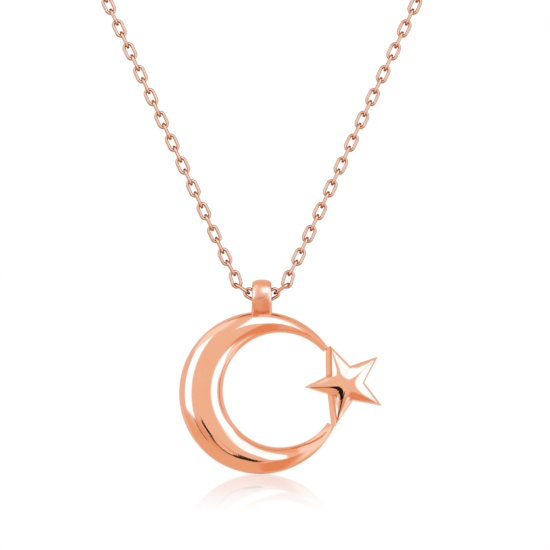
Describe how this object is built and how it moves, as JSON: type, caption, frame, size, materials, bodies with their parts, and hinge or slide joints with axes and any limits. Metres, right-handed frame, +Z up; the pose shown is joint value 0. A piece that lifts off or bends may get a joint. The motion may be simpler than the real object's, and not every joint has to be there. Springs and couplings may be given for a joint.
{
  "type": "pendant necklace",
  "caption": "Fine cable-chain necklace with a domed crescent and a faceted star on a strap bail, closed by a spring-ring clasp.",
  "frame": {"origin": "centre of the bottom of the bounding box: z = 0 is the lowest point of the crescent, x = 0 is the plane that the chain is mirrored about", "axes": "+Z up, -Y the way the pendant's domed front faces, +X towards the star"},
  "size_m": [0.1108, 0.0852, 0.1645],
  "materials": {
    "pendant_gold": "mirror-polished rose-gold plate",
    "chain_gold": "bright drawn wire, rose-gold plate",
    "clasp_gold": "polished rose-gold plate",
    "spring_steel": "bright spring wire"
  },
  "bodies": {
    "neck": {"chain_neck_left": "chain_gold", "chain_neck_right": "chain_gold"},
    "front_1": {"chain_front_1_left": "chain_gold", "chain_front_1_right": "chain_gold"},
    "front_2": {"chain_front_2_left": "chain_gold", "chain_front_2_right": "chain_gold"},
    "front_3": {"chain_front_3_left": "chain_gold", "chain_front_3_right": "chain_gold"},
    "front_4": {"chain_front_4_left": "chain_gold", "chain_front_4_right": "chain_gold"},
    "front_5": {"chain_front_5_left": "chain_gold", "chain_front_5_right": "chain_gold"},
    "front_6": {"chain_front_6_left": "chain_gold", "chain_front_6_right": "chain_gold"},
    "front_7": {"chain_front_7_left": "chain_gold", "chain_front_7_right": "chain_gold"},
    "front_8": {"chain_front_8_left": "chain_gold", "chain_front_8_right": "chain_gold", "centre_ring": "chain_gold"},
    "pendant": {"crescent": "pendant_gold", "star": "pendant_gold", "star_bar": "pendant_gold", "bail": "pendant_gold"},
    "nape_1": {"chain_nape_1_left": "chain_gold", "chain_nape_1_right": "chain_gold"},
    "nape_2": {"chain_nape_2_left": "chain_gold", "chain_nape_2_right": "chain_gold", "jump_ring": "chain_gold", "end_ring": "chain_gold"},
    "clasp": {"clasp_casing": "clasp_gold", "clasp_lug": "clasp_gold", "clasp_spring": "spring_steel"},
    "bolt": {"clasp_bolt": "clasp_gold"}
  },
  "joints": [
    {"name": "front_fold_1", "type": "hinge", "parent": "neck", "child": "front_1", "pos_m": [0, -0.02986, 0.11046], "axis": [1, 0, 0], "range_deg": [-30, 30]},
    {"name": "front_fold_2", "type": "hinge", "parent": "front_1", "child": "front_2", "pos_m": [0, -0.03532, 0.0992], "axis": [1, 0, 0], "range_deg": [-30, 30]},
    {"name": "front_fold_3", "type": "hinge", "parent": "front_2", "child": "front_3", "pos_m": [0, -0.03897, 0.08723], "axis": [1, 0, 0], "range_deg": [-30, 30]},
    {"name": "front_fold_4", "type": "hinge", "parent": "front_3", "child": "front_4", "pos_m": [0, -0.0407, 0.07484], "axis": [1, 0, 0], "range_deg": [-30, 30]},
    {"name": "front_fold_5", "type": "hinge", "parent": "front_4", "child": "front_5", "pos_m": [0, -0.04084, 0.06231], "axis": [1, 0, 0], "range_deg": [-30, 30]},
    {"name": "front_fold_6", "type": "hinge", "parent": "front_5", "child": "front_6", "pos_m": [0, -0.04084, 0.04978], "axis": [1, 0, 0], "range_deg": [-30, 30]},
    {"name": "front_fold_7", "type": "hinge", "parent": "front_6", "child": "front_7", "pos_m": [0, -0.04084, 0.03726], "axis": [1, 0, 0], "range_deg": [-30, 30]},
    {"name": "front_fold_8", "type": "hinge", "parent": "front_7", "child": "front_8", "pos_m": [0, -0.04084, 0.02473], "axis": [1, 0, 0], "range_deg": [-30, 30]},
    {"name": "pendant_swing", "type": "hinge", "parent": "front_8", "child": "pendant", "pos_m": [0, -0.04084, 0.01975], "axis": [1, 0, 0], "range_deg": [-90, 90]},
    {"name": "nape_fold_1", "type": "hinge", "parent": "neck", "child": "nape_1", "pos_m": [0, 0.02161, 0.15224], "axis": [1, 0, 0], "range_deg": [-20, 20]},
    {"name": "nape_fold_2", "type": "hinge", "parent": "nape_1", "child": "nape_2", "pos_m": [0, 0.03487, 0.1599], "axis": [1, 0, 0], "range_deg": [-15, 15]},
    {"name": "clasp_roll", "type": "hinge", "parent": "nape_2", "child": "clasp", "pos_m": [0.00064, 0.03926, 0.16244], "axis": [1, 0, 0], "range_deg": [-20, 20]},
    {"name": "bolt_pull", "type": "hinge", "parent": "clasp", "child": "bolt", "pos_m": [0.00064, 0.03926, 0.16244], "axis": [0, -0.5, 0.866], "range_deg": [0, 48], "stiffness_Nm_per_rad": 0.0005, "springref_deg": -17.19, "deforming": ["clasp_spring"]}
  ]
}
